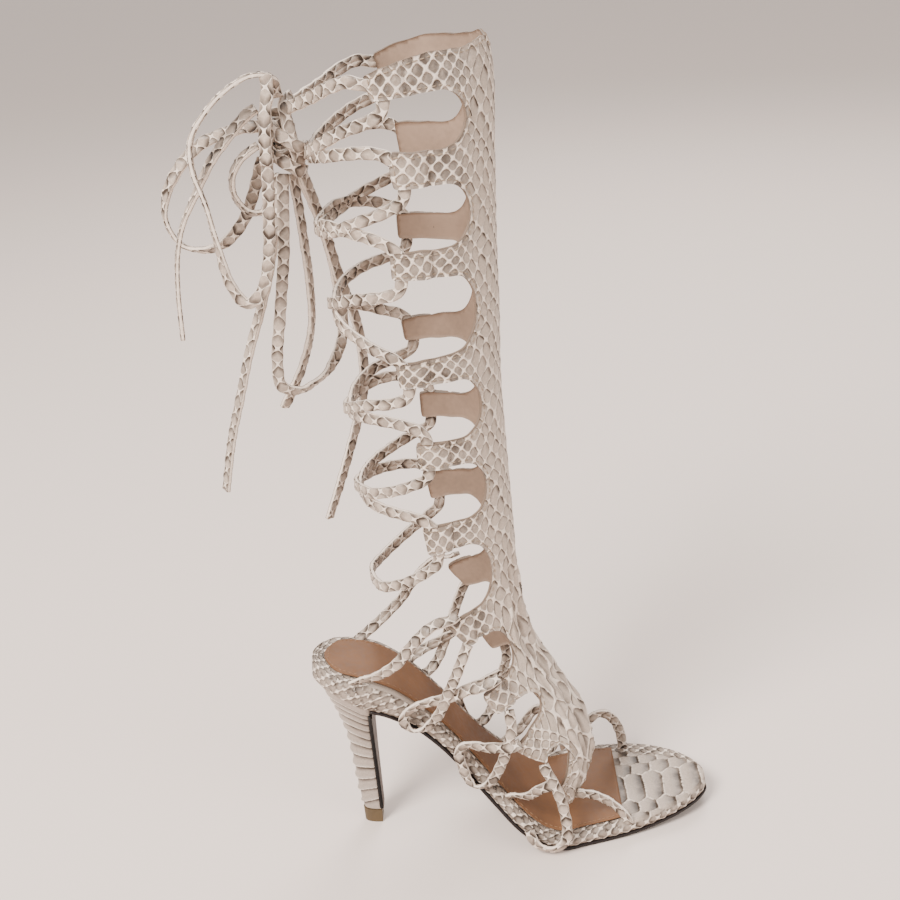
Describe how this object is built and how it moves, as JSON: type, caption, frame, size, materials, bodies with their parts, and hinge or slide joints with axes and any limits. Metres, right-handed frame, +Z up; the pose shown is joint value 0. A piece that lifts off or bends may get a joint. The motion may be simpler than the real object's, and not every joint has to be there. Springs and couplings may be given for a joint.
{
  "type": "gladiator sandal",
  "caption": "Knee-high open sandal for a right foot: a slim high heel, a tabbed leather spine up the shin, and flat laces that cross at the sides and back and end in a bow.",
  "frame": {"origin": "middle of the heel tip's bottom face, on the floor", "axes": "+X from the heel to the toe, +Y to the wearer's left, which is the inner side of this right shoe, +Z up the leg"},
  "size_m": [0.2616, 0.0906, 0.4325],
  "materials": {
    "scaled_leather": "embossed scales, semi-gloss",
    "lace": "embossed scales, satin",
    "sock": "smooth, satin",
    "outsole": "smooth, dark edge",
    "heel_breast": "smooth, satin",
    "top_piece": "satin"
  },
  "bodies": {
    "root": {"outsole": "outsole", "footbed": "scaled_leather", "insole": "sock", "heel": "scaled_leather", "heel_breast": "heel_breast", "top_piece": "top_piece", "upper": "scaled_leather", "outer_lace_heel": "lace", "outer_lace_waist": "lace", "outer_lace_arch": "lace", "outer_lace_ball": "lace", "outer_lace_toe": "lace", "inner_lace_heel": "lace", "inner_lace_waist": "lace", "inner_lace_arch": "lace", "inner_lace_ball": "lace", "inner_lace_toe": "lace", "back_crossing_1": "lace", "back_crossing_2": "lace", "back_crossing_3": "lace", "back_crossing_4": "lace", "back_crossing_5": "lace", "back_bar": "lace", "back_tie_outer": "lace", "back_tie_inner": "lace", "bow_knot": "lace", "bow_loop_1": "lace", "bow_loop_2": "lace", "bow_loop_3": "lace", "bow_loop_4": "lace", "bow_end_1": "lace", "bow_end_2": "lace", "bow_end_3": "lace", "bow_end_4": "lace"}
  },
  "joints": []
}
